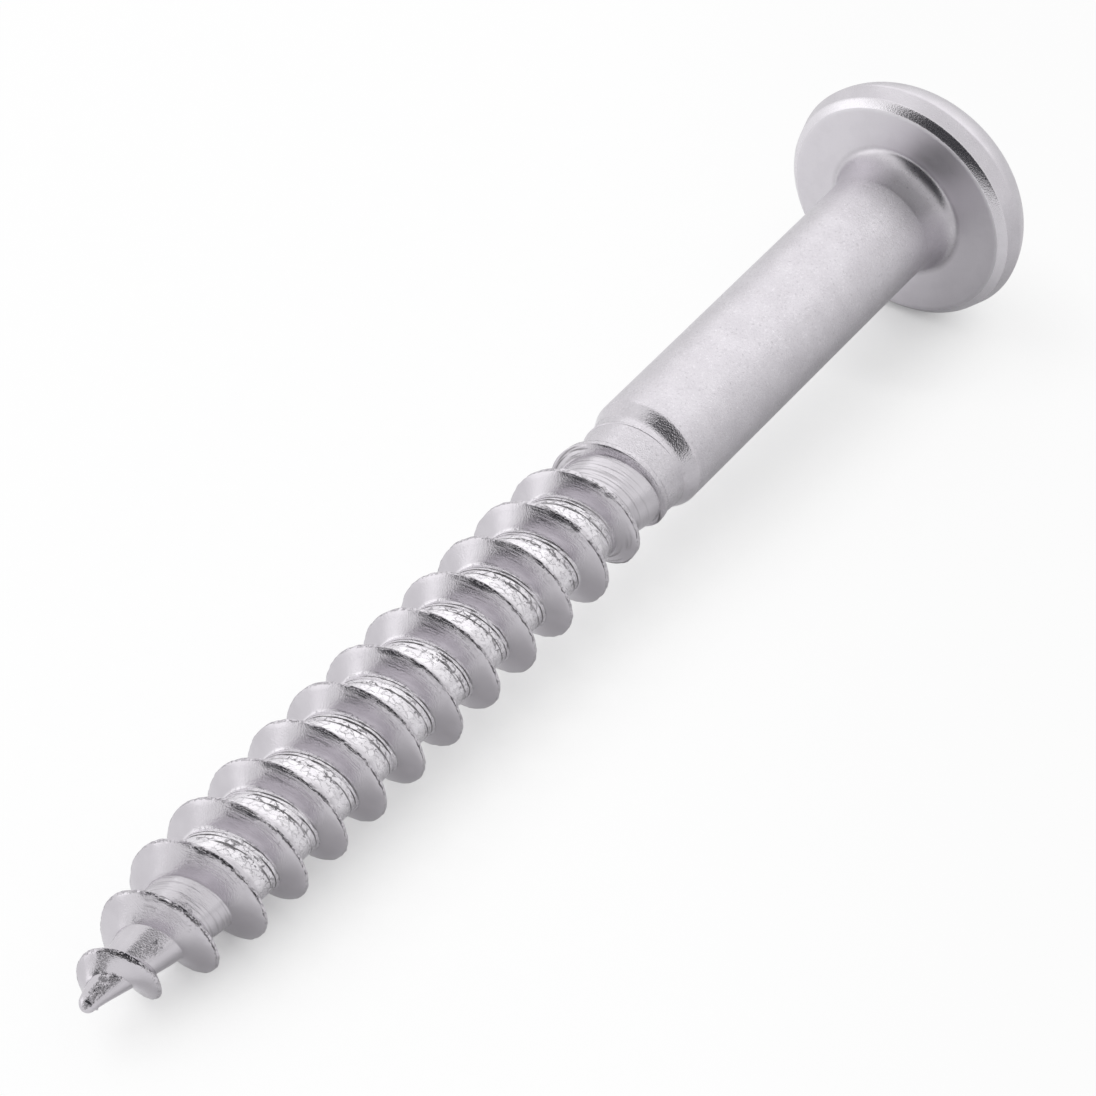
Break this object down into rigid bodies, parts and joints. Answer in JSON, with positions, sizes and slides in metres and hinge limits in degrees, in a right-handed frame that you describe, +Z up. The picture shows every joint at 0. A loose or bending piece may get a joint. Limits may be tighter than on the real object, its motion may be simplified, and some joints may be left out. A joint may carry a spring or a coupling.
{
  "type": "round head wood screw",
  "caption": "Round head wood screw with a plain shank, coarse rolled thread, run-out and gimlet point, lying on its side.",
  "frame": {"origin": "on the ground under the middle of the lying screw, at the bottom centre of its bounding box", "axes": "+X along the screw from the point to the head, level with the ground; +Y to the left; +Z up"},
  "size_m": [0.0642, 0.012, 0.012],
  "materials": {
    "steel": "satin rolled stainless steel"
  },
  "bodies": {
    "root": {"screw": "steel"}
  },
  "joints": []
}
